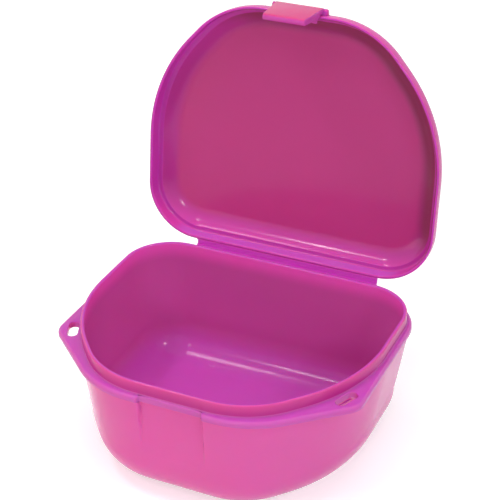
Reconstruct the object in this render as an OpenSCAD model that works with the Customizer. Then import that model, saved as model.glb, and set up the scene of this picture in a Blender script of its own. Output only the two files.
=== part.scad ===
/* [Rim outline] */
// width across the rim, side to side
rim_width = 84.2; // [78:0.2:96]
// depth of the rim, hinge side to latch side
rim_depth = 69.4; // [64:0.2:80]
// radius of the two rear corners
rear_corner_r = 15; // [14:0.5:18]
// distance from the rear edge to the point where the sides turn in
side_turn = 45.5; // [40:0.5:50]
// radius of the side turns
side_turn_r = 44; // [30:1:46]
// distance between the two front corners
front_width = 41.6; // [34:0.2:46]
// radius of the front corners
front_corner_r = 25; // [18:0.5:28]

/* [Tub] */
// height of the ledge above the table
ledge_height = 31.9; // [26:0.1:42]
// thickness of the ledge flange
flange_t = 1.8; // [1.4:0.1:2.4]
// how far the flange stands out past the wall
flange_overhang = 0.6; // [0.3:0.1:1.2]
// rounding of the flange's upper edge
flange_round = 0.9; // [0.4:0.1:1.1]
// small break on the flange's lower edge
flange_break = 0.3; // [0.1:0.05:0.3]
// wall thickness of the tub
wall_t = 1.8; // [1.2:0.1:2.4]
// floor thickness of the tub
floor_t = 1.6; // [1.2:0.1:3]
// how far each side wall draws in on its way down
side_draft = 2.9; // [1:0.1:4]
// how far the front and rear walls draw in on their way down
end_draft = 1.25; // [0.6:0.05:3]
// radius of the rounding between wall and floor
foot_r = 12; // [6:0.5:13]
// height of the lip above the ledge
lip_height = 3.4; // [2.5:0.1:4.5]
// thickness of the lip
lip_t = 1; // [0.8:0.05:1.4]

/* [Lanyard ears] */
// distance of the ear's corner ahead of the point where the sides turn in
ear_ahead = 5; // [4:0.1:6]
// radius of the ear's tip
ear_r = 5.5; // [4:0.1:8]
// length of the slot
slot_length = 7; // [5:0.1:9]
// width of the slot
slot_width = 3; // [2:0.1:3.4]
// angle of the slot from the side of the case
slot_angle = 22; // [10:1:35]
// distance of the slot's centre from the side of the case
slot_inset = 4.2; // [3.6:0.1:4.6]
// distance of the slot's centre behind the ear's corner
slot_behind = 1.5; // [0.8:0.1:2.5]

/* [Thumb recess] */
// width of the recess
recess_width = 17.2; // [16:0.1:24]
// depth of the recess under the flange
recess_depth = 1.6; // [1:0.1:1.8]
// height of the recess, flange to its lower end
recess_height = 15.7; // [10:0.1:17]
// how far the flange steps back over the recess
catch_setback = 1; // [0.6:0.1:1.2]
// wall left behind the recess
recess_wall = 1.4; // [0.8:0.1:2]

/* [Hinge strap] */
// length of the strap along the fold
strap_width = 54; // [40:1:58]
// distance between the two folds
strap_length = 4.05; // [3.6:0.05:5]
// thickness of the strap and of the bars it folds on
strap_t = 1.2; // [0.9:0.05:1.5]
// thickness of the film at a fold
film_t = 0.5; // [0.3:0.05:0.6]
// distance of the folds behind the rim
hinge_back = 1.5; // [1.3:0.05:2.5]
// depth of the lower fold below the ledge
hinge_drop = 1.9; // [1.5:0.05:2.5]
// lean of the strap in the open pose
strap_lean = 14.5; // [0:0.5:25]
// turn of the lid on the strap in the open pose
lid_turn = 82; // [0:1:150]

/* [Lid] */
// how far the lid stands back from the flange's edge
lid_setback = 0.3; // [0.1:0.05:0.6]
// thickness of the skirt that covers the lip
skirt_t = 0.8; // [0.7:0.05:1.3]
// chamfer on the skirt's inner edge
skirt_chamfer = 0.4; // [0.2:0.05:0.5]
// small break on the skirt's outer edge
skirt_break = 0.15; // [0.05:0.05:0.2]
// width of the shoulder inside the skirt
shoulder_width = 1.4; // [1.2:0.1:2]
// width of the cove between shoulder and flat top
cove_run = 5.2; // [4:0.1:8]
// rise of the flat top above the shoulder
cove_rise = 2.5; // [1.5:0.1:3.5]
// thickness of the lid's top
lid_t = 1.4; // [1.2:0.1:2]
// radius of the lid's outer edge, skirt to top
shoulder_r = 5.5; // [3:0.1:6]
// break in the corner between skirt and shoulder
shoulder_break = 0.5; // [0.2:0.05:0.6]

/* [Latch] */
// width of the pad that the latch hangs from
latch_pad_width = 15.4; // [14.6:0.1:17]
// width of the latch at its root
latch_root_width = 13.2; // [11:0.1:14]
// width of the latch at its tip
latch_tip_width = 11.4; // [9:0.1:13]
// length of the latch below the rim
latch_length = 9.4; // [6:0.1:12]
// thickness of the latch plate
latch_t = 1.7; // [1.2:0.1:1.8]
// how far the beaded tip stands out from the plate
tip_bead = 0.1; // [0.05:0.05:0.3]
// radius of the round root that the latch flexes on
latch_root_r = 0.7; // [0.5:0.05:0.9]
// height of the root's axis above the rim
latch_root_up = 1.3; // [1:0.1:2]
// lean of the latch plate toward the tub
latch_lean = 5; // [0:0.5:6]
// how far the barb reaches under the catch edge
barb_grip = 0.7; // [0.3:0.05:0.8]
// height of the barb
barb_height = 3.2; // [2:0.1:4]
// height of the barb's upright face
barb_land = 0.6; // [0.3:0.1:1]

/* [Fits] */
// gap between the lip and the skirt
lip_gap = 0.3; // [0.25:0.05:0.5]
// headroom between the lip and the lid's shoulder
lip_headroom = 0.2; // [0.1:0.05:0.5]
// running gap round a film or the latch root
seat_gap = 0.05; // [0.03:0.01:0.1]
// gap between two mitred ends at a closed fold
mitre_gap = 0.1; // [0.05:0.05:0.2]
// gap between the latch and the catch edge
catch_gap = 0.4; // [0.3:0.05:0.6]

/* [Hidden] */
$fn = 48;
corner_steps = 10;
foot_steps = 8;
edge_steps = 3;
lip_steps = 5;
cove_steps = 5;
least_r = 0.25;
overlap = 0.6;
beyond = 40;

half_width = rim_width / 2;
rear_y = rim_depth / 2;
front_y = -rim_depth / 2;
flange_z = ledge_height - flange_t;
skirt_in = lid_setback + skirt_t;
lip_out = skirt_in + lip_gap;
wall_in = flange_overhang + wall_t;
wall_x = half_width - flange_overhang;
wall_y = rear_y - flange_overhang;
wall_slim = (wall_x - side_draft) / wall_x;
wall_short = (wall_y - end_draft) / wall_y;
outer_foot_r = min(foot_r, rear_corner_r - flange_overhang - lip_t);
inner_foot_r = max(outer_foot_r - wall_t, least_r);
ear_reach = side_turn + ear_ahead;
film_r = film_t / 2;
strap_body = strap_t - film_r;
fold_y = rear_y + hinge_back;
fold_low_z = ledge_height - hinge_drop;
fold_high_z = fold_low_z + strap_length;
catch_y = front_y + catch_setback;
recess_y = front_y + flange_overhang + recess_depth;
recess_foot = flange_z - recess_height;
recess_foot_y = front_y + flange_overhang + recess_height * end_draft / (flange_z - outer_foot_r);
shoulder_in = skirt_in + shoulder_width;
flat_in = shoulder_in + cove_run;
shoulder_z = ledge_height + lip_height + lip_headroom;
flat_z = shoulder_z + cove_rise;
latch_axis_y = front_y - seat_gap - catch_gap / 2 - latch_root_r;
latch_axis_z = ledge_height + latch_root_up;
latch_in_y = catch_y - catch_gap;

// corners of the right half of an outline, from the rear to the front
rim_corners = [
    [half_width, rear_y],
    [half_width, rear_y - side_turn],
    [front_width / 2, front_y]
];
rim_radii = [rear_corner_r, side_turn_r, front_corner_r];
ear_corners = [rim_corners[0], [half_width, rear_y - ear_reach], rim_corners[2]];
ear_radii = [rear_corner_r, ear_r, front_corner_r];

function unit(v) = v / norm(v);
function flip(p) = [-p.x, p.y];
function whole(corners) = [for (p = corners) p, for (i = [2:-1:0]) flip(corners[i])];
function whole_radii(radii) = [for (r = radii) r, for (i = [2:-1:0]) radii[i]];

// points of one rounded corner b between its neighbours a and c, drawn in by inset
function corner_arc(a, b, c, r, inset) =
    let (u = unit(a - b), w = unit(c - b), half = acos(u * w) / 2)
    let (centre = b + unit(u + w) * r / sin(half), from = b + u * r / tan(half) - centre)
    let (first = atan2(from.y, from.x), sweep = 180 - 2 * half)
    [for (i = [0:corner_steps]) let (t = first - sweep * i / corner_steps)
        centre + max(r - inset, least_r) * [cos(t), sin(t)]];

// a closed outline drawn in by inset, as a list of points
function outline(corners, radii, inset) =
    let (p = whole(corners), r = whole_radii(radii), n = len(p))
    [for (i = [0:n - 1]) each corner_arc(p[(i + n - 1) % n], p[i], p[(i + 1) % n], r[i], inset)];

function at(points, z) = [for (p = points) [p.x, p.y, z]];
function rim(inset, z) = at(outline(rim_corners, rim_radii, inset), z);
function ear(inset, z) = at(outline(ear_corners, ear_radii, inset), z);
function foot(inset, z) = [for (p = rim(inset, z)) [p.x * wall_slim, p.y * wall_short, p.z]];

// closed solid through a row of rings that share one number of points
module loft(rings) {
    n = len(rings[0]);
    last = len(rings) - 1;
    points = [for (r = rings) each r];
    sides = [for (k = [0:last - 1], i = [0:n - 1]) let (j = (i + 1) % n)
        each [[k * n + i, k * n + j, (k + 1) * n + j], [k * n + i, (k + 1) * n + j, (k + 1) * n + i]]];
    low = [for (i = [n - 1:-1:0]) i];
    high = [for (i = [0:n - 1]) last * n + i];
    polyhedron(points, concat(sides, [low, high]));
}

// extrusion along the width of the case, centred on its middle plane
module across(width) {
    rotate([90, 0, 90])
        linear_extrude(width, center = true)
            children();
}

// the tub's section, followed from the floor's underside over the lip and down inside
tub_rings = [
    for (i = [0:foot_steps]) let (a = 90 * i / foot_steps)
        foot(flange_overhang + outer_foot_r * (1 - sin(a)), outer_foot_r * (1 - cos(a))),
    rim(flange_overhang, flange_z),
    ear(flange_break, flange_z),
    ear(0, flange_z + flange_break),
    for (i = [0:edge_steps]) let (a = 90 * i / edge_steps)
        ear(flange_round * (1 - cos(a)), ledge_height - flange_round * (1 - sin(a))),
    rim(lip_out, ledge_height),
    for (i = [0:lip_steps]) let (a = 180 * i / lip_steps)
        rim(lip_out + lip_t / 2 * (1 - cos(a)), ledge_height + lip_height - lip_t / 2 * (1 - sin(a))),
    rim(lip_out + lip_t, ledge_height),
    rim(wall_in, flange_z),
    for (i = [0:foot_steps]) let (a = 90 * i / foot_steps)
        foot(wall_in + inner_foot_r * (1 - cos(a)), floor_t + inner_foot_r * (1 - sin(a)))
];

// the slot in an ear, cut right through the flange
module slot() {
    translate([half_width - slot_inset, rear_y - ear_reach + slot_behind, 0])
        rotate(-slot_angle)
            linear_extrude(beyond) {
                square([slot_width, slot_length - slot_width], center = true);
                for (s = [-1, 1])
                    translate([0, s * (slot_length - slot_width) / 2])
                        circle(d = slot_width);
            }
}

// what the thumb recess takes out of the front wall and the flange's edge
module recess_cut() {
    across(recess_width)
        polygon([
            [recess_foot_y, recess_foot], [recess_y, flange_z], [catch_y, flange_z],
            [catch_y, ledge_height + overlap], [front_y - beyond, ledge_height + overlap],
            [front_y - beyond, recess_foot]
        ]);
}

// wall behind the recess, blended into the tub's inside
module recess_back() {
    across(recess_width + 2 * recess_wall)
        polygon([
            [recess_foot_y + recess_wall / 2, recess_foot],
            [recess_y + recess_wall, flange_z - recess_wall],
            [recess_y + recess_wall, flange_z],
            [recess_y, ledge_height],
            [recess_y - overlap, flange_z]
        ]);
}

// mitred bar that a fold's film is seated in, drawn with the fold at the origin
module hinge_bar_profile() {
    difference() {
        polygon([
            [-hinge_back - overlap - film_r, -film_r], [-mitre_gap, -film_r], [-mitre_gap, 0],
            [-mitre_gap - strap_body, strap_body], [-hinge_back - overlap - film_r, strap_body]
        ]);
        circle(film_r + seat_gap);
    }
}

module tub() {
    color("orchid") {
        difference() {
            union() {
                loft(tub_rings);
                recess_back();
            }
            for (s = [0, 1])
                mirror([s, 0, 0])
                    translate([0, 0, flange_z - overlap])
                        slot();
            recess_cut();
        }
        across(strap_width)
            translate([fold_y, fold_low_z])
                hinge_bar_profile();
    }
}

// turns the strap, with what it carries, about the lower fold into the open pose
module leaned() {
    translate([0, fold_y, fold_low_z])
        rotate([-strap_lean, 0, 0])
            translate([0, -fold_y, -fold_low_z])
                children();
}

// turns the lid, drawn closed, about the upper fold into the open pose
module opened() {
    leaned()
        translate([0, fold_y, fold_high_z])
            rotate([-lid_turn, 0, 0])
                translate([0, -fold_y, -fold_high_z])
                    children();
}

module film(z) {
    color("hotpink")
        leaned()
            across(strap_width)
                translate([fold_y, z])
                    circle(film_r);
}

module film_lower() {
    film(fold_low_z);
}

module film_upper() {
    film(fold_high_z);
}

module strap() {
    color("plum")
        leaned()
            across(strap_width)
                translate([fold_y, fold_low_z])
                    difference() {
                        polygon([
                            [film_r, mitre_gap], [film_r, strap_length - mitre_gap],
                            [0, strap_length - mitre_gap],
                            [-strap_body, strap_length - mitre_gap - strap_body],
                            [-strap_body, mitre_gap + strap_body], [0, mitre_gap]
                        ]);
                        for (z = [0, strap_length])
                            translate([0, z])
                                circle(film_r);
                    }
}

// the lid's section, followed from the flat inside over the skirt to the top
cove_r = (cove_run * cove_run + cove_rise * cove_rise) / (2 * cove_rise);
cove_turn = 2 * atan2(cove_rise, cove_run);
top_z = flat_z + lid_t;

lid_rings = [
    for (i = [0:cove_steps]) let (a = cove_turn * i / cove_steps)
        rim(flat_in - cove_r * sin(a), flat_z - cove_r * (1 - cos(a))),
    rim(skirt_in + shoulder_break, shoulder_z),
    rim(skirt_in, shoulder_z - shoulder_break),
    rim(skirt_in, ledge_height + skirt_chamfer),
    rim(skirt_in - skirt_chamfer, ledge_height),
    rim(lid_setback + skirt_break, ledge_height),
    rim(lid_setback, ledge_height + skirt_break),
    for (i = [0:foot_steps]) let (a = 90 * i / foot_steps)
        rim(lid_setback + shoulder_r * (1 - cos(a)), top_z - shoulder_r * (1 - sin(a)))
];

// pad on the front skirt with the round seat that the latch root turns in
module latch_seat() {
    skin_y = front_y + lid_setback + skirt_t / 2;
    pad_z = latch_axis_z + 2 * latch_root_r;
    difference() {
        across(latch_pad_width)
            polygon([
                [skin_y, latch_axis_z], [latch_axis_y, latch_axis_z],
                [latch_axis_y, pad_z], [skin_y, pad_z + overlap]
            ]);
        across(latch_root_width + 2 * catch_gap)
            translate([latch_axis_y, latch_axis_z])
                circle(latch_root_r + seat_gap);
    }
}

module lid() {
    color("mediumorchid")
        opened() {
            loft(lid_rings);
            latch_seat();
            across(strap_width)
                translate([fold_y, fold_high_z])
                    mirror([0, 1])
                        hinge_bar_profile();
        }
}

// the latch's section: root, plate, rounded tip and the barb under the catch edge
module latch_profile() {
    barb_z = flange_z - mitre_gap;
    tip_z = ledge_height - latch_length;
    neck_z = latch_axis_z - latch_root_r / 2;
    drop = neck_z - tip_z;
    out_y = latch_axis_y - latch_root_r;
    tip_y = out_y + drop * tan(latch_lean);
    tip_r = latch_t / 2 + tip_bead;
    head_z = ledge_height - catch_gap;
    foot_z = tip_z + tip_r;
    barb_foot = barb_z - barb_height;
    function inner_y(z) = latch_in_y + (tip_y + latch_t - latch_in_y) * (head_z - z) / (head_z - foot_z);
    translate([latch_axis_y, latch_axis_z])
        circle(latch_root_r);
    polygon([
        [out_y, neck_z], [tip_y, foot_z], [tip_y + latch_t, foot_z], [inner_y(barb_foot), barb_foot],
        [catch_y + barb_grip, barb_z - barb_land], [catch_y + barb_grip, barb_z], [inner_y(barb_z), barb_z],
        [latch_in_y, head_z], [latch_axis_y + latch_root_r, head_z], [latch_axis_y + latch_root_r, neck_z]
    ]);
    translate([tip_y + latch_t / 2, foot_z])
        circle(tip_r);
}

module latch() {
    half_root = latch_root_width / 2;
    slope = (latch_root_width - latch_tip_width) / 2 / latch_length;
    low = latch_length + overlap;
    color("hotpink")
        opened()
            intersection() {
                across(latch_root_width)
                    latch_profile();
                translate([0, 0, ledge_height])
                    rotate([90, 0, 0])
                        linear_extrude(2 * beyond, center = true)
                            polygon([
                                [-half_root - slope * low, low], [half_root + slope * low, low],
                                [half_root - slope * low, -low], [-half_root + slope * low, -low]
                            ]);
            }
}

tub();
film_lower();
strap();
film_upper();
lid();
latch();
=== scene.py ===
"""Looks of an open mouthguard case, moulded in one piece in translucent pink plastic."""

import logging
import math
from dataclasses import dataclass, replace
from enum import Enum
from typing import Callable, Sequence

import bmesh
import bpy
import numpy as np
from mathutils import Matrix, Vector


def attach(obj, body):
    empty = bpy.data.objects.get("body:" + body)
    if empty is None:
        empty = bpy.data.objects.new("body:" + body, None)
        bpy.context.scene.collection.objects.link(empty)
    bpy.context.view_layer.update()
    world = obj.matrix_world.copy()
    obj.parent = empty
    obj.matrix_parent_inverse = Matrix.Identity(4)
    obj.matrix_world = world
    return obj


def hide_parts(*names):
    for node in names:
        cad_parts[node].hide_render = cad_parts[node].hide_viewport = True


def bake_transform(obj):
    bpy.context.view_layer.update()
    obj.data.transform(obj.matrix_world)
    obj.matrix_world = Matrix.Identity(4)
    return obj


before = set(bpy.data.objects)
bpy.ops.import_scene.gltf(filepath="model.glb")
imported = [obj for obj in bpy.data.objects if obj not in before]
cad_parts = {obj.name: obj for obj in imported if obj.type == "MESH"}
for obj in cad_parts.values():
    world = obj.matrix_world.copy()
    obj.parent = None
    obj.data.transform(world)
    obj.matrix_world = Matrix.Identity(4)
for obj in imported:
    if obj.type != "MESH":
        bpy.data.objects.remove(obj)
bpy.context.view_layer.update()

log = logging.getLogger("mouthguard_case")

Point = tuple[float, float]
Span = tuple[float, float]
Coords = tuple[float, float, float]
Colour = tuple[float, float, float]
Cover = tuple[float, float, float, float]
Rounds = tuple[float, ...]
Socket = bpy.types.NodeSocket
Inputs = dict[str | int, Socket | float | tuple[float, ...]]

# The case's sizes, drawn with it closed, and the camera's place are in millimetres.
# The lamps and the table are in metres.
MM = 0.001
UP: Coords = (0.0, 0.0, 1.0)
WHITE: Cover = (1.0, 1.0, 1.0, 1.0)
FOLD_AXIS = "X"
RIM_Z = 31.9
LATCH_AXIS: Point = (-35.65, 33.2)
LATCH_ROOT_R = 0.7
LEAST_CORNER_R = 0.05
CREASE_ANGLE = 42.0
SOFT_EDGE_ANGLE = 50.0
SOFT_EDGE_SEGMENTS = 3


class Body(str, Enum):
    """Bodies that the pieces ride on."""

    TUB = "tub"
    STRAP = "strap"
    LID = "lid"
    LATCH = "latch"


class Slot(str, Enum):
    """Material slots of the record."""

    TUB = "tub_plastic"
    FILM = "film_plastic"
    STRAP = "strap_plastic"
    LID = "lid_plastic"
    LATCH = "latch_plastic"


class Plan(Enum):
    """Plan outlines that a ring can follow."""

    RIM = "rim"
    EARED = "eared"


def soft_step(value: np.ndarray) -> np.ndarray:
    """Return a smooth 0 to 1 step over the same range of the value."""
    t = np.clip(value, 0.0, 1.0)
    return t * t * (3.0 - 2.0 * t)


def quarter(steps: int) -> np.ndarray:
    """Return the angles of a quarter turn, in a number of steps."""
    return np.radians(np.linspace(0.0, 90.0, steps + 1))


def even(width: float) -> Callable[[float], float]:
    """Return the half width of a piece that is as wide at every height."""
    return lambda z: width / 2.0


def arc_points(a: np.ndarray, b: np.ndarray, c: np.ndarray, r: float, inset: float, steps: int) -> np.ndarray:
    """Round one corner of an outline.

    Args:
        a: Corner before this one.
        b: The corner.
        c: Corner after it.
        r: Radius of the corner.
        inset: How far the outline is drawn in; the arc keeps its centre.
        steps: Number of steps on the arc.

    Returns:
        The arc's points, one row each.
    """
    u = (a - b) / np.linalg.norm(a - b)
    w = (c - b) / np.linalg.norm(c - b)
    half = math.acos(float(np.clip(u @ w, -1.0, 1.0))) / 2.0
    middle = (u + w) / np.linalg.norm(u + w)
    centre = b + middle * r / math.sin(half)
    start = b + u * r / math.tan(half) - centre
    end = b + w * r / math.tan(half) - centre
    first = math.atan2(start[1], start[0])
    turn = math.atan2(start[0] * end[1] - start[1] * end[0], float(start @ end))
    angles = first + turn * np.linspace(0.0, 1.0, steps + 1)
    reach = max(r - inset, LEAST_CORNER_R)
    return centre + reach * np.stack([np.cos(angles), np.sin(angles)], axis=1)


def rounded(points: list[Point], radii: Sequence[float], closed: bool, steps: int = 6) -> list[Point]:
    """Round the corners of a section.

    Args:
        points: Corners of the section.
        radii: Radius at each corner; 0 leaves it sharp.
        closed: Whether the last corner joins the first.
        steps: Steps on each rounding.

    Returns:
        The section's points.
    """
    out: list[Point] = []
    count = len(points)
    for i, (corner, r) in enumerate(zip(points, radii)):
        ends = not closed and i in (0, count - 1)
        if ends or r <= 0.0:
            out.append(corner)
            continue
        before, here, after = (np.array(points[(i + k) % count], float) for k in (-1, 0, 1))
        out.extend((float(p[0]), float(p[1])) for p in arc_points(before, here, after, r, 0.0, steps))
    return out


def mesh_piece(name: str, verts: np.ndarray, faces: list[list[int]], pose: Matrix) -> bpy.types.Object:
    """Make a mesh object whose faces all point outward.

    Args:
        name: Name of the piece.
        verts: Corners in millimetres, drawn with the case closed.
        faces: Corner numbers of each face.
        pose: Transform, in millimetres, into the open pose.

    Returns:
        The new object, in metres.
    """
    mesh = bpy.data.meshes.new(name)
    placed = [tuple((pose @ Vector(v)) * MM) for v in verts.tolist()]
    mesh.from_pydata(placed, [], faces)
    shell = bmesh.new()
    shell.from_mesh(mesh)
    bmesh.ops.recalc_face_normals(shell, faces=shell.faces[:])
    shell.to_mesh(mesh)
    shell.free()
    obj = bpy.data.objects.new(name, mesh)
    bpy.context.scene.collection.objects.link(obj)
    return obj


def shade(obj: bpy.types.Object) -> None:
    """Shade smooth, with edges above the crease angle kept sharp."""
    obj.data.polygons.foreach_set("use_smooth", [True] * len(obj.data.polygons))
    obj.data.set_sharp_from_angle(angle=math.radians(CREASE_ANGLE))


def bake(obj: bpy.types.Object) -> None:
    """Turn the object's modifiers into its mesh.

    Args:
        obj: The object, which keeps its name and place.
    """
    graph = bpy.context.evaluated_depsgraph_get()
    made = bpy.data.meshes.new_from_object(obj.evaluated_get(graph))
    obj.modifiers.clear()
    obj.data = made


def loft(name: str, rings: list[np.ndarray], pose: Matrix) -> bpy.types.Object:
    """Skin a row of rings that share one number of points, and close both ends.

    Args:
        name: Name of the piece.
        rings: Rings in order along the section.
        pose: Transform into the open pose.

    Returns:
        The new object.
    """
    count = len(rings[0])
    last = (len(rings) - 1) * count
    faces = [
        [k * count + i, k * count + (i + 1) % count, (k + 1) * count + (i + 1) % count, (k + 1) * count + i]
        for k in range(len(rings) - 1)
        for i in range(count)
    ]
    faces.append(list(range(count)))
    faces.append([last + i for i in range(count)])
    return mesh_piece(name, np.concatenate(rings), faces, pose)


def prism(
    name: str, section: list[Point], half_width: Callable[[float], float], pose: Matrix, soften: float
) -> bpy.types.Object:
    """Draw a section out to both sides of the middle plane and soften its ends.

    Args:
        name: Name of the piece.
        section: Closed section, as (y, z) points.
        half_width: Half of the width at a height z.
        pose: Transform into the open pose.
        soften: Rounding of the end edges.

    Returns:
        The new object.
    """
    count = len(section)
    verts = np.array([(s * half_width(z), y, z) for s in (-1, 1) for y, z in section])
    faces = [[i, (i + 1) % count, count + (i + 1) % count, count + i] for i in range(count)]
    faces.append(list(range(count)))
    faces.append([count + i for i in range(count)])
    obj = mesh_piece(name, verts, faces, pose)
    edge = obj.modifiers.new("soft_edge", "BEVEL")
    edge.width = soften * MM
    edge.segments = SOFT_EDGE_SEGMENTS
    edge.limit_method = "ANGLE"
    edge.angle_limit = math.radians(SOFT_EDGE_ANGLE)
    bake(obj)
    shade(obj)
    return obj


def opaque(colour: Colour) -> Cover:
    """Return a colour with full cover, as a socket holds it."""
    return (*colour, 1.0)


@dataclass(frozen=True)
class Noise:
    """Scale and detail of a noise pattern."""

    scale: float
    detail: float


@dataclass(frozen=True)
class Nodes:
    """A node tree, with short ways to add to it."""

    tree: bpy.types.NodeTree

    def feed(self, node: bpy.types.Node, inputs: Inputs) -> None:
        """Link or set inputs of a node.

        Args:
            node: The node.
            inputs: By name or number, the socket that feeds an input or the value it holds.
        """
        for key, source in inputs.items():
            if isinstance(source, Socket):
                self.tree.links.new(source, node.inputs[key])
            else:
                node.inputs[key].default_value = source

    def add(self, kind: str, inputs: Inputs, **options: str) -> bpy.types.Node:
        """Add a node.

        Args:
            kind: Blender's name for this kind of node.
            inputs: What its inputs take.
            options: Settings of the node.

        Returns:
            The node.
        """
        node = self.tree.nodes.new(kind)
        for name, option in options.items():
            setattr(node, name, option)
        self.feed(node, inputs)
        return node

    def noise(self, place: Socket, noise: Noise) -> Socket:
        """Return a noise pattern's value."""
        inputs = {"Vector": place, "Scale": noise.scale, "Detail": noise.detail}
        return self.add("ShaderNodeTexNoise", inputs).outputs["Fac"]

    def ramp(self, value: Socket, span: Span, to: Span = (0.0, 1.0)) -> Socket:
        """Map a value's span smoothly to another one.

        Args:
            value: The value.
            span: Where it starts and ends.
            to: What those ends become.

        Returns:
            The result's socket.
        """
        ends = {"From Min": span[0], "From Max": span[1], "To Min": to[0], "To Max": to[1]}
        node = self.add("ShaderNodeMapRange", {"Value": value, **ends}, interpolation_type="SMOOTHSTEP")
        return node.outputs["Result"]

    def mix(self, factor: Socket, under: Socket | Cover, over: Socket | Cover, kind: str = "MIX") -> Socket:
        """Mix two colours by a factor, and return the result."""
        inputs = {"Factor": factor, "A": under, "B": over}
        return self.add("ShaderNodeMix", inputs, data_type="RGBA", blend_type=kind).outputs["Result"]

    def dot(self, vector: Socket, way: Socket | Coords) -> Socket:
        """Measure a vector along a direction, and return the value."""
        return self.add("ShaderNodeVectorMath", {0: vector, 1: way}, operation="DOT_PRODUCT").outputs["Value"]

    def math(self, kind: str, first: Socket, second: Socket | float) -> Socket:
        """Combine two values, and return the result."""
        return self.add("ShaderNodeMath", {0: first, 1: second}, operation=kind).outputs[0]


@dataclass(frozen=True)
class Tint:
    """A colour laid over another one, from the value where it begins to the one where it is full."""

    colour: Colour
    begins: float
    full: float

    def over(self, nodes: Nodes, under: Socket | Cover, value: Socket) -> Socket:
        """Lay the tint over a colour.

        Args:
            nodes: The material's nodes.
            under: Colour that the tint is laid over.
            value: What drives it.

        Returns:
            The new colour's socket.
        """
        return nodes.mix(nodes.ramp(value, (self.begins, self.full)), under, opaque(self.colour))


@dataclass(frozen=True)
class CoveGloss:
    """A thin coat on the inside, where the surface turns up from one bound to another."""

    weight: float
    begins: Span = (0.15, 0.35)
    ends: Span = (0.76, 0.82)
    roughness: float = 0.15

    def spread(self, nodes: Nodes, normal: Socket, inward: Socket) -> Socket:
        """Work out the coat's weight.

        Args:
            nodes: The material's nodes.
            normal: The way the surface faces.
            inward: 1 on the inside and 0 on the outside.

        Returns:
            The weight's socket.
        """
        rise = nodes.dot(normal, UP)
        risen = nodes.ramp(rise, self.begins, (0.0, self.weight))
        band = nodes.math("MULTIPLY", risen, nodes.ramp(rise, self.ends, (1.0, 0.0)))
        return nodes.math("MULTIPLY", band, inward)


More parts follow.
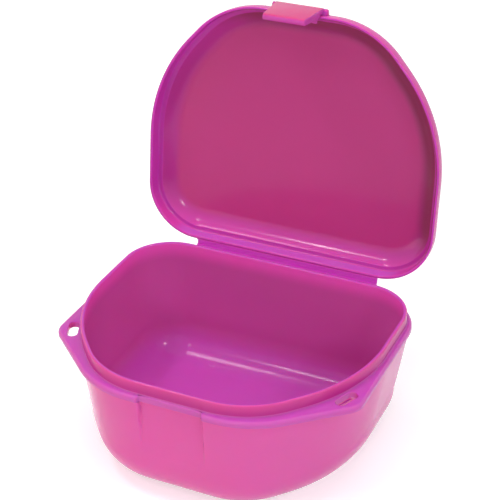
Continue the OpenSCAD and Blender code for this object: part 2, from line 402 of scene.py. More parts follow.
@dataclass(frozen=True)
class MouldedPlastic:
    """Translucent dyed plastic, in a shaded inside copy and a lit outside copy of one colour.

    Tints of painted light, shade and glow lie over both. Inside, the rim and skirt tints paint a glow
    toward the rim, the shade tint darkens faces that turn along its way, and the slope and top tints
    paint light on faces that turn up. Outside, tints paint light on the flange's edge and ledge, and
    shade at the lip's foot that lightens toward its top, all by the distance toward the rim. A piece's
    inside is what faces its heart.
    """

    name: str
    # The plastic's colour painted darker for the shade inside the piece.
    inside: Colour
    # The same colour painted lighter and warmer for the light on its outer faces.
    outside: Colour
    # Painted light on faces that turn up.
    painted_top_light: Tint
    heart: Coords
    # Painted glow on the inside, toward the rim.
    rim: Tint | None = None
    # A second painted glow on the inside, toward the rim.
    skirt: Tint | None = None
    # Painted shade on faces that turn along the shade's way.
    painted_shade: Tint | None = None
    # Painted light on faces that turn partly up.
    painted_slope_light: Tint | None = None
    # Painted light from above, outside, from the flange's edge up over the ledge.
    painted_hem_light: Tint | None = None
    # Painted shade outside, at the foot of the lip.
    painted_groove_shade: Tint | None = None
    # Painted shade on the lip's outside, lightening toward its top.
    lip: Tint | None = None
    gloss: CoveGloss | None = None
    rim_way: Coords = UP
    # Way that the faces with painted shade turn.
    painted_shade_way: Coords = (-0.75, 0.0, -0.66)
    turn: Span = (-0.25, 0.35)
    flow: Colour = (0.86, 0.8, 0.84)
    flow_noise: Noise = Noise(26.0, 3.0)
    flow_span: Span = (0.25, 0.75)
    flow_share: float = 0.35
    polish: Span = (0.1, 0.16)
    polish_noise: Noise = Noise(140.0, 4.0)
    polish_span: Span = (0.3, 0.7)
    grain: float = 0.06
    grain_noise: Noise = Noise(1600.0, 2.0)
    grain_depth: float = 0.1
    ior: float = 1.49
    sheen: float = 0.17
    glow: float = 0.55
    glow_depth: float = 2.2
    glow_share: Colour = (1.0, 0.16, 0.42)
    # Strength of an emission that paints a glow on the piece.
    painted_glow: float = 0.0

    def facing(self, nodes: Nodes, spot: Socket, normal: Socket) -> Socket:
        """Measure how far the surface faces away from the heart.

        Args:
            nodes: The material's nodes.
            spot: Place on the piece.
            normal: The way the surface faces.

        Returns:
            The socket of a value from 1, away, to -1, toward it.
        """
        heart = tuple(Vector(self.heart) * MM)
        away = nodes.add("ShaderNodeVectorMath", {0: spot, 1: heart}, operation="SUBTRACT")
        way = nodes.add("ShaderNodeVectorMath", {0: away.outputs["Vector"]}, operation="NORMALIZE")
        return nodes.dot(way.outputs["Vector"], normal)

    def dye_and_painted_light(self, nodes: Nodes, spot: Socket, normal: Socket, facing: Socket) -> Socket:
        """Draw the plastic's colour, with its tints of painted light, shade and glow and a faint flow.

        Args:
            nodes: The material's nodes.
            spot: Place on the piece.
            normal: The way the surface faces.
            facing: How far it faces away from the heart.

        Returns:
            The colour's socket.
        """
        per_mm = tuple(Vector(self.rim_way) / MM)
        # The inside and outside colours are shaded and lit copies of one colour, and every tint laid over
        # them is painted light, shade or glow.
        inner, outer = opaque(self.inside), opaque(self.outside)
        for tint, vector, way in (
            (self.rim, spot, per_mm),
            (self.skirt, spot, per_mm),
            (self.painted_shade, normal, self.painted_shade_way),
            (self.painted_slope_light, normal, UP),
            (self.painted_top_light, normal, UP),
        ):
            if tint:
                inner = tint.over(nodes, inner, nodes.dot(vector, way))
        for tint in (self.painted_hem_light, self.painted_groove_shade, self.lip):
            if tint:
                outer = tint.over(nodes, outer, nodes.dot(spot, per_mm))
        both = nodes.mix(nodes.ramp(facing, self.turn), inner, outer)
        flow = nodes.ramp(nodes.noise(spot, self.flow_noise), self.flow_span, (0.0, self.flow_share))
        return nodes.mix(flow, both, opaque(self.flow), "MULTIPLY")

    def build(self) -> bpy.types.Material:
        """Make the Blender material.

        Returns:
            The material, with its colour, painted light, shade and glow, polish and grain.
        """
        material = bpy.data.materials.new(self.name)
        material.use_nodes = True
        nodes = Nodes(material.node_tree)
        skin = material.node_tree.nodes["Principled BSDF"]
        place = nodes.add("ShaderNodeTexCoord", {})
        spot, normal = place.outputs["Object"], place.outputs["Normal"]
        facing = self.facing(nodes, spot, normal)
        dye_and_painted_light = self.dye_and_painted_light(nodes, spot, normal, facing)
        grain = nodes.noise(spot, self.grain_noise)
        bumps = {"Strength": self.grain, "Distance": self.grain_depth * MM, "Height": grain}
        skin_inputs = {
            "Base Color": dye_and_painted_light,
            "Roughness": nodes.ramp(nodes.noise(spot, self.polish_noise), self.polish_span, self.polish),
            "Normal": nodes.add("ShaderNodeBump", bumps).outputs["Normal"],
            "IOR": self.ior,
            "Specular IOR Level": self.sheen,
            "Subsurface Weight": self.glow,
            "Subsurface Radius": self.glow_share,
            "Subsurface Scale": self.glow_depth * MM,
            "Emission Strength": self.painted_glow,
        }
        # The emission paints a glow, as of light coming through thin plastic.
        if self.painted_glow:
            skin_inputs["Emission Color"] = dye_and_painted_light
        if self.gloss:
            inward = nodes.ramp(facing, self.turn, (1.0, 0.0))
            skin_inputs["Coat Weight"] = self.gloss.spread(nodes, normal, inward)
            skin_inputs["Coat Roughness"] = self.gloss.roughness
        nodes.feed(skin, skin_inputs)
        return material


@dataclass(frozen=True)
class Ring:
    """One closed line round the case, at a height.

    The push and the lift step it back and up where the thumb recess is.
    """

    plan: Plan
    inset: float
    z: float
    drawn_in: float = 0.0
    push: float = 0.0
    lift: float = 0.0
    inside: bool = False


@dataclass(frozen=True)
class RimPlan:
    """Plan outline of the case: straight rear, sides that turn in, and a narrow front."""

    width: float = 84.2
    depth: float = 69.4
    rear_corner_r: float = 15.0
    side_turn: float = 45.5
    side_turn_r: float = 44.0
    front_width: float = 41.6
    front_corner_r: float = 25.0
    ear_ahead: float = 5.0
    ear_r: float = 5.5
    side_draft: float = 2.9
    end_draft: float = 1.25
    overhang: float = 0.6
    arc_steps: tuple[int, int, int] = (22, 26, 26)
    straight_steps: tuple[int, int, int, int] = (16, 14, 100, 36)

    @property
    def rear_y(self) -> float:
        """Return the rear edge's place."""
        return self.depth / 2.0

    @property
    def front_y(self) -> float:
        """Return the front edge's place."""
        return -self.depth / 2.0

    def outline(self, plan: Plan, inset: float) -> np.ndarray:
        """Draw the outline.

        Args:
            plan: Plain rim, or the rim with its two ears.
            inset: How far it is drawn in.

        Returns:
            Points in order round the case; every outline has the same number.
        """
        eared = plan is Plan.EARED
        turn = self.side_turn + (self.ear_ahead if eared else 0.0)
        right = [
            (self.width / 2.0, self.rear_y),
            (self.width / 2.0, self.rear_y - turn),
            (self.front_width / 2.0, self.front_y),
        ]
        radii = [self.rear_corner_r, self.ear_r if eared else self.side_turn_r, self.front_corner_r]
        corners = np.array(right + [(-x, y) for x, y in reversed(right)])
        radii += radii[::-1]
        arcs = self.arc_steps + self.arc_steps[::-1]
        side, slope, front, rear = self.straight_steps
        between = (side, slope, front, slope, side, rear)
        count = len(corners)
        turns = [
            arc_points(corners[i - 1], corners[i], corners[(i + 1) % count], radii[i], inset, arcs[i])
            for i in range(count)
        ]
        points = []
        for i, arc in enumerate(turns):
            share = np.linspace(0.0, 1.0, between[i] + 1)[1:-1, None]
            points += [arc, arc[-1] + (turns[(i + 1) % count][0] - arc[-1]) * share]
        return np.concatenate(points)

    def draw(self, plan: Plan, inset: float, z: float, drawn_in: float = 0.0) -> np.ndarray:
        """Draw the outline at a height, drawn in toward the foot.

        Args:
            plan: Plain rim, or the rim with its two ears.
            inset: How far it is drawn in all round.
            z: The height.
            drawn_in: Share of the draft, 1 at the foot.

        Returns:
            Points in order round the case.
        """
        flat = self.outline(plan, inset)
        half = (self.width / 2.0 - self.overhang, self.depth / 2.0 - self.overhang)
        flat = flat * (1.0 - drawn_in * np.array([self.side_draft / half[0], self.end_draft / half[1]]))
        return np.column_stack([flat, np.full(len(flat), z)])


@dataclass(frozen=True)
class Folds:
    """The two folds of the hinge and the open pose."""

    y: float = 36.2
    low_z: float = 30.0
    high_z: float = 34.05
    lean: float = 14.5
    lid_turn: float = 82.0
    film_r: float = 0.25
    body: float = 0.95
    gap: float = 0.1
    back: float = 1.5
    width: float = 54.0
    bar_bite: float = 0.9
    bar_rounds: Rounds = (0.0, 0.1, 0.12, 0.2, 0.0)
    bar_round_steps: int = 4
    bar_soften: float = 0.15

    def about(self, z: float, degrees: float) -> Matrix:
        """Return a turn about the fold at height z, opening when positive."""
        there = Matrix.Translation((0.0, self.y, z))
        return there @ Matrix.Rotation(math.radians(-degrees), 4, FOLD_AXIS) @ there.inverted()

    def leaned(self) -> Matrix:
        """Return the strap's pose."""
        return self.about(self.low_z, self.lean)

    def opened(self) -> Matrix:
        """Return the lid's pose."""
        return self.leaned() @ self.about(self.high_z, self.lid_turn)

    def bar(self, z: float, up: float) -> list[Point]:
        """Draw the mitred bar beside a fold.

        Args:
            z: Height of the fold.
            up: 1 for the bar that stands above its film, -1 for the one below.

        Returns:
            The bar's closed section.
        """
        root = -self.back - self.bar_bite
        shape = [
            (root, -self.film_r),
            (-self.gap - self.film_r, -self.film_r),
            (-self.gap - self.film_r, 0.0),
            (-self.gap - self.body, self.body),
            (root, self.body),
        ]
        section = [(self.y + dy, z + up * dz) for dy, dz in shape]
        return rounded(section, self.bar_rounds, closed=True, steps=self.bar_round_steps)


@dataclass
class Tub:
    """Deep lower half, with its lip, ledge, lanyard ears and thumb recess."""

    plan: RimPlan
    folds: Folds
    finish: bpy.types.Material
    bar_finish: bpy.types.Material
    ledge_z: float = RIM_Z
    flange_t: float = 1.8
    under_flange: float = 0.15
    tuck: float = 0.1
    fillet: float = 0.3
    fillet_middle: float = 0.09
    edge_round: float = 0.9
    wall_t: float = 1.8
    floor_t: float = 1.6
    foot_r: float = 12.0
    lip_in: float = 1.4
    lip_t: float = 1.0
    lip_height: float = 3.4
    recess_width: float = 17.2
    recess_depth: float = 1.6
    recess_height: float = 15.7
    recess_edge: float = 0.6
    recess_edge_inside: float = 1.8
    recess_wall: float = 1.4
    catch_setback: float = 1.0
    catch_round: float = 0.35
    catch_fade: Point = (0.27, 0.08)
    slot_place: Point = (37.9, -14.3)
    slot_length: float = 6.7
    slot_width: float = 2.7
    slot_angle: float = 22.0
    slot_flare: float = 0.28
    cutter_below: float = 0.6
    cutter_above: float = 0.5
    cutter_steps: int = 48
    cutter_turn: float = 1.0
    flare_steps: int = 4
    foot_steps: int = 16
    wall_steps: int = 31
    edge_steps: int = 7
    lip_steps: int = 12
    inner_wall_steps: int = 29
    inner_foot_steps: int = 18

    @property
    def flange_z(self) -> float:
        """Return the height of the flange's underside."""
        return self.ledge_z - self.flange_t

    def outer_push(self, z: float) -> float:
        """Return how deep the thumb recess is at a height."""
        up = (z - (self.flange_z - self.recess_height)) / self.recess_height
        return self.recess_depth * min(max(up, 0.0), 1.0)

    def inner_push(self, z: float) -> float:
        """Work out how far the wall behind the recess stands in.

        Args:
            z: The height.

        Returns:
            The depth at that height.
        """
        low = self.flange_z - self.recess_height
        full = self.recess_depth + self.recess_wall - self.wall_t
        up = (z - low) / (self.flange_z - self.recess_wall - low)
        down = (self.ledge_z - z) / self.flange_t
        return full * min(max(up, 0.0), max(down, 0.0), 1.0)

    def outside(self) -> list[Ring]:
        """Draw the underside and the outer wall.

        Returns:
            The rings up to the flange.
        """
        rings = []
        for a in quarter(self.foot_steps):
            inset = self.plan.overhang + self.foot_r * (1.0 - math.sin(a))
            rings.append(Ring(Plan.RIM, inset, self.foot_r * (1.0 - math.cos(a)), drawn_in=1.0))
        top = self.flange_z - self.under_flange
        for z in np.linspace(self.foot_r, top, self.wall_steps + 1)[1:]:
            left = (self.flange_z - z) / (self.flange_z - self.foot_r)
            rings.append(Ring(Plan.RIM, self.plan.overhang, float(z), left, self.outer_push(float(z))))
        return rings

    def flange(self) -> list[Ring]:
        """Draw the flange.

        Returns:
            The rings from its underside round its edge to the ledge.
        """
        back = self.catch_setback
        rings = [
            Ring(Plan.RIM, self.plan.overhang - self.tuck, self.flange_z, push=self.recess_depth),
            Ring(Plan.EARED, self.fillet, self.flange_z, push=back),
            Ring(Plan.EARED, self.fillet_middle, self.flange_z + self.fillet_middle, push=back),
            Ring(Plan.EARED, 0.0, self.flange_z + self.fillet, push=back),
        ]
        less = self.edge_round - self.catch_round
        for a in quarter(self.edge_steps):
            run, rise = 1.0 - math.cos(a), 1.0 - math.sin(a)
            z = self.ledge_z - self.edge_round * rise
            rings.append(Ring(Plan.EARED, self.edge_round * run, z, push=back - less * run, lift=less * rise))
        root, middle = self.lip_in - self.fillet, self.lip_in - self.fillet_middle
        rings.append(Ring(Plan.RIM, root, self.ledge_z, push=self.catch_fade[0]))
        rings.append(Ring(Plan.RIM, middle, self.ledge_z + self.fillet_middle, push=self.catch_fade[1]))
        return rings

    def lip(self) -> list[Ring]:
        """Draw the lip.

        Returns:
            The rings over it.
        """
        rings = [Ring(Plan.RIM, self.lip_in, self.ledge_z + self.fillet)]
        half = self.lip_t / 2.0
        top = self.ledge_z + self.lip_height
        for a in np.linspace(0.0, math.pi, self.lip_steps + 1):
            z = top - half * (1.0 - math.sin(a))
            rings.append(Ring(Plan.RIM, self.lip_in + half * (1.0 - math.cos(a)), z))
        rings.append(Ring(Plan.RIM, self.lip_in + self.lip_t, self.ledge_z, inside=True))
        return rings

    def inside(self) -> list[Ring]:
        """Draw the inner wall and the floor.

        Returns:
            The rings down to the floor.
        """
        rings = []
        wall_in = self.plan.overhang + self.wall_t
        r = self.foot_r - self.wall_t
        foot = self.floor_t + r
        for z in np.linspace(self.flange_z, foot, self.inner_wall_steps + 1)[:-1]:
            left = (self.flange_z - z) / (self.flange_z - foot)
            push = self.inner_push(float(z))
            rings.append(Ring(Plan.RIM, wall_in, float(z), left, push, inside=True))
        for a in quarter(self.inner_foot_steps):
            inset = wall_in + r * (1.0 - math.cos(a))
            z = self.floor_t + r * (1.0 - math.sin(a))
            rings.append(Ring(Plan.RIM, inset, z, 1.0, self.inner_push(z), inside=True))
        return rings

    def drawn(self, ring: Ring) -> np.ndarray:
        """Draw a ring, stepped back where the thumb recess is.

        Args:
            ring: The ring.

        Returns:
            Its points in order round the case.
        """
        points = self.plan.draw(ring.plan, ring.inset, ring.z, ring.drawn_in)
        half = self.recess_width / 2.0 + (self.recess_wall if ring.inside else 0.0)
        edge = self.recess_edge_inside if ring.inside else self.recess_edge
        share = soft_step((half + edge / 2.0 - np.abs(points[:, 0])) / edge) * (points[:, 1] < 0.0)
        points[:, 1] += ring.push * share
        points[:, 2] += ring.lift * share
        return points

    def slot_cutter(self, side: int) -> bpy.types.Object:
        """Make the shape that cuts a lanyard slot, flared at both faces of the flange.

        Args:
            side: 1 for the right ear, -1 for the left.

        Returns:
            The cutter.
        """
        turn = math.radians(-self.slot_angle)
        run = (self.slot_length - self.slot_width) / 2.0
        flare = self.slot_flare
        arc = quarter(self.flare_steps)
        low = [(flare * (1.0 - math.sin(a)), self.flange_z + flare * (1.0 - math.cos(a))) for a in arc]
        high = [(flare * (1.0 - math.cos(a)), self.ledge_z - flare * (1.0 - math.sin(a))) for a in arc]
        below, above = (flare, self.flange_z - self.cutter_below), (flare, self.ledge_z + self.cutter_above)
        around = np.radians(np.linspace(0.0, 360.0, self.cutter_steps, endpoint=False) + self.cutter_turn)
        rings = []
        for grow, z in [below, *low, *high, above]:
            r = self.slot_width / 2.0 + grow
            x = r * np.cos(around)
            y = r * np.sin(around) + np.where(np.sin(around) > 0.0, run, -run)
            px = self.slot_place[0] + x * math.cos(turn) - y * math.sin(turn)
            py = self.slot_place[1] + x * math.sin(turn) + y * math.cos(turn)
            rings.append(np.column_stack([side * px, py, np.full(len(px), z)]))
        return loft("slot_cutter", rings, Matrix.Identity(4))

    def build(self) -> list[bpy.types.Object]:
        """Build the shell and its hinge bar.

        Returns:
            The tub's pieces.
        """
        rings = self.outside() + self.flange() + self.lip() + self.inside()
        shell = loft("tub_shell", [self.drawn(ring) for ring in rings], Matrix.Identity(4))
        for side in (1, -1):
            cutter = self.slot_cutter(side)
            cut = shell.modifiers.new("slot", "BOOLEAN")
            cut.operation = "DIFFERENCE"
            cut.solver = "EXACT"
            cut.object = cutter
            bake(shell)
            bpy.data.objects.remove(cutter)
        shade(shell)
        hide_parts("tub")
        folds = self.folds
        section = folds.bar(folds.low_z, 1.0)
        bar = prism("tub_hinge_bar", section, even(folds.width), Matrix.Identity(4), folds.bar_soften)
        dress(shell, self.finish, Body.TUB)
        dress(bar, self.bar_finish, Body.TUB)
        return [shell, bar]


@dataclass(frozen=True)
class Bend:
    """Middle of a fold in the open pose, and the ways from it into the pieces below and above it."""

    fold: Vector
    before: Vector
    after: Vector


@dataclass
class HingeStrap:
    """Stiff strap between two thin folds."""

    folds: Folds
    finish: bpy.types.Material
    film_finish: bpy.types.Material
    soften: float = 0.12
    rounds: Rounds = (0.1, 0.1, 0.08, 0.25, 0.25, 0.08)
    round_steps: int = 4
    film_reach: float = 1.1
    film_soften: float = 0.1
    film_turn_steps: int = 8
    film_end_steps: int = 5

    def strap_section(self) -> list[Point]:
        """Draw the strap, mitred toward both folds.

        Returns:
            Its closed section.
        """
        f = self.folds
        length = f.high_z - f.low_z
        shape = [
            (f.film_r, f.gap),
            (f.film_r, length - f.gap),
            (0.0, length - f.gap),
            (-f.body, length - f.gap - f.body),
            (-f.body, f.gap + f.body),
            (0.0, f.gap),
        ]
        section = [(f.y + dy, f.low_z + dz) for dy, dz in shape]
        return rounded(section, self.rounds, closed=True, steps=self.round_steps)

    def film_section(self, bend: Bend) -> list[Point]:
        """Draw the section of the thin sheet that bends at a fold.

        Args:
            bend: The fold and the ways from it.

        Returns:
            The sheet's closed section.
        """
        r = self.folds.film_r
        first, last = bend.fold + bend.before * self.film_reach, bend.fold + bend.after * self.film_reach
        corners = [(p.y, p.z) for p in (first, bend.fold, last)]
        line = np.array(rounded(corners, [0.0, 2.0 * r, 0.0], closed=False, steps=self.film_turn_steps))
        share = np.linspace(0.0, 1.0, self.film_end_steps + 1)[:-1, None]
        start = line[0] + (line[1] - line[0]) * share
        end = line[-1] + (line[-2] - line[-1]) * share[::-1]
        line = np.concatenate([start, line[1:-1], end])
        run = np.gradient(line, axis=0)
        side = np.column_stack([-run[:, 1], run[:, 0]]) / np.linalg.norm(run, axis=1)[:, None]
        sheet = np.concatenate([line + r * side, (line - r * side)[::-1]])
        return [(float(y), float(z)) for y, z in sheet]

    def build_film(self, name: str, bend: Bend) -> bpy.types.Object:
        """Build one film, drawn bent round its fold between the two bodies it joins.

        Args:
            name: Name of the film.
            bend: The fold and the ways from it.

        Returns:
            The film.
        """
        section, width = self.film_section(bend), even(self.folds.width)
        film = prism(name + "_sheet", section, width, Matrix.Identity(4), self.film_soften)
        film.data.materials.append(self.film_finish)
        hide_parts(name)
        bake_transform(film)
        return film

    def build(self) -> list[bpy.types.Object]:
        """Build the strap and its two films.

        Returns:
            The hinge's pieces.
        """
        pose = self.folds.leaned()
        strap = prism("strap_plate", self.strap_section(), even(self.folds.width), pose, self.soften)
        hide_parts("strap")
        dress(strap, self.finish, Body.STRAP)
        forward, up = Vector((0.0, -1.0, 0.0)), pose.to_3x3() @ Vector(UP)
        into_lid = self.folds.opened().to_3x3() @ forward
        low = Bend(Vector((0.0, self.folds.y, self.folds.low_z)), forward, up)
        high = Bend(pose @ Vector((0.0, self.folds.y, self.folds.high_z)), -up, into_lid)
        lower = self.build_film("film_lower", low)
        upper = self.build_film("film_upper", high)
        return [strap, lower, upper]


@dataclass
class Lid:
    """Shallow lid: skirt, shoulder, cove and flat top, with the latch's pad."""

    plan: RimPlan
    folds: Folds
    finish: bpy.types.Material
    bar_finish: bpy.types.Material
    rim_z: float = RIM_Z
    setback: float = 0.3
    skirt_t: float = 0.8
    skirt_height: float = 3.6
    shoulder_width: float = 1.4
    cove_run: float = 5.2
    cove_rise: float = 2.5
    top_t: float = 1.4
    shoulder_r: float = 5.5
    skirt_rounds: Rounds = (0.0, 0.35, 0.6, 0.36, 0.22, 0.0)
    cove_steps: int = 14
    edge_steps: int = 12
    pad_width: float = 15.4
    pad_axis: Point = LATCH_AXIS
    pad_r: float = LATCH_ROOT_R
    pad_bulge: float = 0.42
    pad_slope: float = 0.6
    pad_rounds: Rounds = (0.0, 0.2, 0.4, 0.5, 0.0)
    pad_round_steps: int = 5
    pad_soften: float = 0.45

    def section(self) -> list[Point]:
        """Draw the lid's section.

        Returns:
            Insets and heights, from the flat inside round the skirt to the flat top.
        """
        inner = self.setback + self.skirt_t
        shoulder = inner + self.shoulder_width
        flat = shoulder + self.cove_run
        shoulder_z = self.rim_z + self.skirt_height
        flat_z = shoulder_z + self.cove_rise
        top_z = flat_z + self.top_t
        cove_r = (self.cove_run**2 + self.cove_rise**2) / (2.0 * self.cove_rise)
        turn = 2.0 * math.atan2(self.cove_rise, self.cove_run)
        cove = [
            (flat - cove_r * math.sin(a), flat_z - cove_r * (1.0 - math.cos(a)))
            for a in np.linspace(0.0, turn, self.cove_steps + 1)[:-1]
        ]
        corners = [
            cove[-1],
            (shoulder, shoulder_z),
            (inner, shoulder_z),
            (inner, self.rim_z),
            (self.setback, self.rim_z),
            (self.setback, top_z - self.shoulder_r),
        ]
        skirt = rounded(corners, self.skirt_rounds, closed=False)
        r = self.shoulder_r
        edge = [
            (self.setback + r * (1.0 - math.cos(a)), top_z - r * (1.0 - math.sin(a)))
            for a in quarter(self.edge_steps)
        ]
        return cove[:-1] + skirt[:-1] + edge

    def pad_section(self) -> list[Point]:
        """Draw the pad on the front skirt that the latch hangs from.

        Returns:
            Its closed section.
        """
        skin = self.plan.front_y + self.setback + self.skirt_t / 2.0
        y, z = self.pad_axis
        top = z + 2.0 * self.pad_r
        bulge = (y - self.pad_bulge, z + self.pad_r)
        corners = [(skin, z), (y, z), bulge, (y, top), (skin, top + self.pad_slope)]
        return rounded(corners, self.pad_rounds, closed=True, steps=self.pad_round_steps)

    def build(self) -> list[bpy.types.Object]:
        """Build the shell, its hinge bar and the latch's pad.

        Returns:
            The lid's pieces.
        """
        folds = self.folds
        pose = folds.opened()
        shell = loft("lid_shell", [self.plan.draw(Plan.RIM, inset, z) for inset, z in self.section()], pose)
        shade(shell)
        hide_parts("lid")
        section = folds.bar(folds.high_z, -1.0)
        bar = prism("lid_hinge_bar", section, even(folds.width), pose, folds.bar_soften)
        pad = prism("latch_pad", self.pad_section(), even(self.pad_width), pose, self.pad_soften)
        dress(shell, self.finish, Body.LID)
        dress(bar, self.bar_finish, Body.LID)
        dress(pad, self.finish, Body.LID)
        return [shell, bar, pad]


@dataclass
class Latch:
    """Sprung tab on the lid's front, with a barb behind it."""

    folds: Folds
    finish: bpy.types.Material
    axis: Point = LATCH_AXIS
    root_r: float = LATCH_ROOT_R
    root_width: float = 13.2
    tip_width: float = 11.4
    length: float = 9.4
    thickness: float = 1.7
    lean: float = 5.0
    rim_z: float = RIM_Z
    inner_y: float = -34.1
    catch_y: float = -33.7
    barb_z: float = 30.0
    barb_grip: float = 0.7
    barb_height: float = 3.2
    barb_land: float = 0.6
    top_drop: float = 0.4
    rounds: Rounds = (0.66, 0.8, 0.8, 0.6, 0.2, 0.15, 0.2, 0.2, 0.15, 0.66)
    round_steps: int = 7
    soften: float = 0.55

    def section(self) -> list[Point]:
        """Draw the latch's section.

        Returns:
            The closed section, from the root down the front and up the back.
        """
        y, z = self.axis
        tip_z = self.rim_z - self.length
        top_z = self.rim_z - self.top_drop
        out = y - self.root_r
        tip = out + (z - self.root_r / 2.0 - tip_z) * math.tan(math.radians(self.lean))

        def inner(at: float) -> float:
            """Return the plate's inner face at a height."""
            return self.inner_y + (tip + self.thickness - self.inner_y) * (top_z - at) / (top_z - tip_z)

        foot = self.barb_z - self.barb_height
        grip = self.catch_y + self.barb_grip
        corners = [
            (out, z + self.root_r),
            (tip, tip_z),
            (tip + self.thickness, tip_z),
            (inner(foot), foot),
            (grip, self.barb_z - self.barb_land),
            (grip, self.barb_z),
            (inner(self.barb_z), self.barb_z),
            (self.inner_y, top_z),
            (y + self.root_r, top_z),
            (y + self.root_r, z + self.root_r),
        ]
        return rounded(corners, self.rounds, closed=True, steps=self.round_steps)

    def half_width(self, z: float) -> float:
        """Return half of the tab's width at a height."""
        slope = (self.root_width - self.tip_width) / 2.0 / self.length
        return self.root_width / 2.0 - slope * max(self.rim_z - z, 0.0)

    def build(self) -> list[bpy.types.Object]:
        """Build the tab.

        Returns:
            The latch's pieces.
        """
        tab = prism("latch_tab", self.section(), self.half_width, self.folds.opened(), self.soften)
        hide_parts("latch")
        dress(tab, self.finish, Body.LATCH)
        return [tab]


def dress(obj: bpy.types.Object, finish: bpy.types.Material, body: Body) -> None:
    """Dress a piece.

    Args:
        obj: The piece.
        finish: Its material.
        body: The body that it rides on.
    """
    obj.data.materials.clear()
    obj.data.materials.append(finish)
    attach(obj, body.value)


@dataclass(frozen=True)
class SoftLamp:
    """One soft rectangular lamp, placed in metres."""

    name: str
    place: Coords
    target: Coords
    size: tuple[float, float]
    power: float
    colour: Colour = (1.0, 1.0, 1.0)
    mirrored: bool = True

    def build(self) -> None:
        """Hang the lamp."""
        data = bpy.data.lights.new(self.name, "AREA")
        data.shape = "RECTANGLE"
        data.size, data.size_y = self.size
        data.energy = self.power
        data.color = self.colour
        lamp = bpy.data.objects.new(self.name, data)
        lamp.location = self.place
        lamp.visible_glossy = self.mirrored
        aim = Vector(self.target) - Vector(self.place)
        lamp.rotation_euler = aim.to_track_quat("-Z", "Y").to_euler()
        bpy.context.scene.collection.objects.link(lamp)


IN_TUB: Coords = (0.0, 0.0, 0.03)
MID_CASE: Coords = (0.0, 0.0, 0.05)
LAMPS = (
    SoftLamp("overhead", (-0.35, -0.1, 0.84), IN_TUB, (0.17, 0.1), 0.93),
    SoftLamp("top", (-0.02, 0.0, 0.9), MID_CASE, (0.7, 0.7), 3.25, mirrored=False),
    SoftLamp("right_key", (0.7, -0.55, 0.55), MID_CASE, (0.5, 0.5), 1.3, mirrored=False),
    SoftLamp(
        "left_fill",
        (-0.2, -0.2, 0.04),
        target=(-0.03, -0.02, 0.02),
        size=(0.14, 0.1),
        power=0.1,
        colour=(1.0, 0.36, 0.2),
    ),
    SoftLamp(
        "right_fill",
        (0.26, -0.2, 0.06),
        target=(0.03, -0.02, 0.02),
        size=(0.14, 0.1),
        power=0.05,
        colour=(0.9, 0.8, 1.0),
        mirrored=False,
    ),
    SoftLamp("cove_glint", (-0.275, -0.5, 0.73), MID_CASE, (0.035, 0.1), 0.5),
    SoftLamp("tub_glint", (0.62, -0.1, 0.61), IN_TUB, (0.09, 0.09), 0.75),
    SoftLamp("lid_glint", (0.09, -0.8, 0.33), MID_CASE, (0.1, 0.1), 0.7),
)


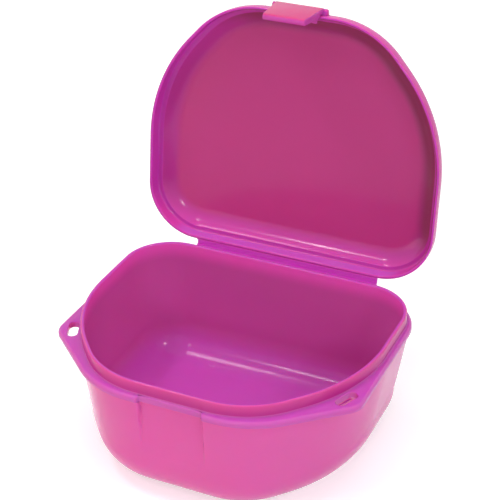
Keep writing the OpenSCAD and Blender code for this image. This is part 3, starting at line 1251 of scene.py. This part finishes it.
@dataclass
class Studio:
    """White table, white surroundings, soft lamps and the camera."""

    lamps: tuple[SoftLamp, ...] = LAMPS
    sky: float = 0.22
    floor_half: float = 2.0
    floor_tone: float = 0.8
    floor_lift: float = 0.55
    floor_roughness: float = 0.85
    fleck_scale: float = 90.0
    fleck_share: float = 0.985
    lens: float = 102.423
    sensor: float = 36.0
    camera_place: Coords = (131.7789, -278.2064, 232.6898)
    camera_up: Coords = (-0.2021798, 0.4532499, 0.8681520)
    camera_back: Coords = (0.3576336, -0.7910694, 0.4962937)

    @staticmethod
    def seen_directly(nodes: Nodes) -> Socket:
        """Make the factor that is 1 for what the camera sees, straight, mirrored or through plastic.

        Args:
            nodes: Nodes to add to.

        Returns:
            The factor's socket.
        """
        path = nodes.add("ShaderNodeLightPath", {})
        seen = path.outputs["Is Camera Ray"]
        for ray in ("Is Glossy Ray", "Is Transmission Ray"):
            seen = nodes.math("MAXIMUM", seen, path.outputs[ray])
        return seen

    def build_world(self) -> None:
        """Make the surroundings white to the eye and softer as a light."""
        world = bpy.data.worlds.new("white_room")
        world.use_nodes = True
        bpy.context.scene.world = world
        nodes = Nodes(world.node_tree)
        light = world.node_tree.nodes["Background"]
        nodes.feed(light, {"Color": WHITE, "Strength": self.sky})
        white = nodes.add("ShaderNodeBackground", {"Color": WHITE})
        shown = {"Fac": self.seen_directly(nodes), 1: light.outputs[0], 2: white.outputs[0]}
        mix = nodes.add("ShaderNodeMixShader", shown)
        nodes.feed(world.node_tree.nodes["World Output"], {"Surface": mix.outputs[0]})

    def build_paper(self) -> bpy.types.Material:
        """Make the table's paper, which looks white and keeps the shadow.

        Returns:
            The material.
        """
        paper = bpy.data.materials.new("table_paper")
        paper.use_nodes = True
        nodes = Nodes(paper.node_tree)
        fleck = nodes.add("ShaderNodeTexNoise", {"Scale": self.fleck_scale})
        tone = nodes.add("ShaderNodeValToRGB", {"Fac": fleck.outputs["Fac"]})
        for element, share in zip(tone.color_ramp.elements, (self.fleck_share, 1.0)):
            element.color = opaque((self.floor_tone * share,) * 3)
        sheet = {
            "Base Color": tone.outputs["Color"],
            "Roughness": self.floor_roughness,
            "Emission Color": WHITE,
            "Emission Strength": nodes.math("MULTIPLY", self.seen_directly(nodes), self.floor_lift),
        }
        nodes.feed(paper.node_tree.nodes["Principled BSDF"], sheet)
        return paper

    def build_floor(self) -> None:
        """Lay the white table."""
        half = self.floor_half
        corners = [(-half, -half, 0.0), (half, -half, 0.0), (half, half, 0.0), (-half, half, 0.0)]
        mesh = bpy.data.meshes.new("table")
        mesh.from_pydata(corners, [], [[0, 1, 2, 3]])
        mesh.materials.append(self.build_paper())
        table = bpy.data.objects.new("table", mesh)
        bpy.context.scene.collection.objects.link(table)

    def build_camera(self) -> None:
        """Set the camera where the photograph was taken from."""
        data = bpy.data.cameras.new("camera")
        data.lens = self.lens
        data.sensor_width = self.sensor
        camera = bpy.data.objects.new("camera", data)
        place = Matrix.Identity(4)
        up, back = Vector(self.camera_up), Vector(self.camera_back)
        for column, axis in enumerate((up.cross(back), up, back)):
            place.col[column].xyz = axis
        place.translation = Vector(self.camera_place) * MM
        camera.matrix_world = place
        bpy.context.scene.collection.objects.link(camera)
        bpy.context.scene.camera = camera

    def build(self) -> None:
        """Set up the table, the light and the camera."""
        bpy.context.scene.view_settings.view_transform = "Standard"
        self.build_world()
        self.build_floor()
        self.build_camera()
        for lamp in self.lamps:
            lamp.build()


# The tub's inside and outside colours are one plastic colour, painted darker inside for shade and lighter and
# warmer outside for light. Its tints paint light on faces that turn up, a glow under the lip inside, light on
# the flange's edge and ledge, and shade at the lip's foot that lightens toward its top.
TUB_PINK = MouldedPlastic(
    "tub_pink",
    inside=(0.67, 0.11, 0.43),
    outside=(0.90, 0.15, 0.52),
    heart=(0.0, 0.0, 45.0),
    painted_top_light=Tint((0.66, 0.095, 0.55), 0.15, 0.7),
    rim=Tint((0.95, 0.13, 0.62), 29.5, 34.5),
    painted_hem_light=Tint((0.72, 0.14, 0.56), 29.9, 30.4),
    painted_groove_shade=Tint((0.60, 0.04, 0.33), 32.2, 32.4),
    lip=Tint((0.84, 0.11, 0.42), 32.4, 36.2),
)
# The lid's inside and outside colours are one plastic colour, painted darker and redder inside for shade and
# lighter outside for light. Its tints paint light on faces that turn up or partly up, a violet glow in two
# bands toward the rim, and shade on faces that turn left and down.
LID_PINK = MouldedPlastic(
    "lid_pink",
    inside=(0.63, 0.066, 0.30),
    outside=(0.80, 0.085, 0.44),
    heart=(0.0, -30.0, 70.0),
    painted_top_light=Tint((0.68, 0.12, 0.65), 0.86, 0.98),
    rim=Tint((0.58, 0.058, 0.36), -37.2, -36.6),
    skirt=Tint((0.65, 0.068, 0.56), -34.9, -34.4),
    painted_shade=Tint((0.35, 0.06, 0.15), -0.1, 0.35),
    painted_slope_light=Tint((0.74, 0.069, 0.49), 0.08, 0.8),
    gloss=CoveGloss(0.3),
    rim_way=(0.0, -0.9936, 0.113),
    turn=(-0.3, 0.1),
    sheen=0.15,
)
# The strap's colour is painted bright for light coming through the thin plastic where it sits in shade under
# the lid's skirt; an emission paints a glow on it, and its tint paints light on faces that turn up.
STRAP_PINK = MouldedPlastic(
    "strap_pink",
    inside=(0.96, 0.14, 0.80),
    outside=(0.96, 0.14, 0.80),
    heart=(0.0, 0.0, 34.0),
    painted_top_light=Tint((0.92, 0.14, 0.80), 0.3, 0.95),
    glow=1.0,
    glow_depth=4.0,
    glow_share=(1.0, 0.3, 0.9),
    painted_glow=0.09,
)
# The folds share the strap's painted brightness and painted glow.
FOLD_PINK = replace(STRAP_PINK, name="fold_pink", polish=(0.29, 0.36))
# The latch's turn is out of reach, so all of it has the inside colour, with painted light on faces
# that turn up, such as its outer face in the open pose.
LATCH_PINK = MouldedPlastic(
    "latch_pink",
    inside=(0.70, 0.10, 0.50),
    outside=(0.70, 0.10, 0.50),
    heart=(0.0, 42.0, 102.0),
    painted_top_light=Tint((0.80, 0.07, 0.28), 0.3, 0.95),
    turn=(2.0, 3.0),
)


def main() -> None:
    """Build the case and its studio."""
    logging.basicConfig(level=logging.INFO, format="%(name)s: %(message)s")
    plan = RimPlan()
    folds = Folds()
    fold_finish = FOLD_PINK.build()
    parts = [
        Tub(plan, folds, TUB_PINK.build(), fold_finish),
        HingeStrap(folds, STRAP_PINK.build(), fold_finish),
        Lid(plan, folds, LID_PINK.build(), fold_finish),
        Latch(folds, LATCH_PINK.build()),
    ]
    for part in parts:
        for piece in part.build():
            log.info("%s: %d faces", piece.name, len(piece.data.polygons))
    Studio().build()


if __name__ == "__main__":
    main()
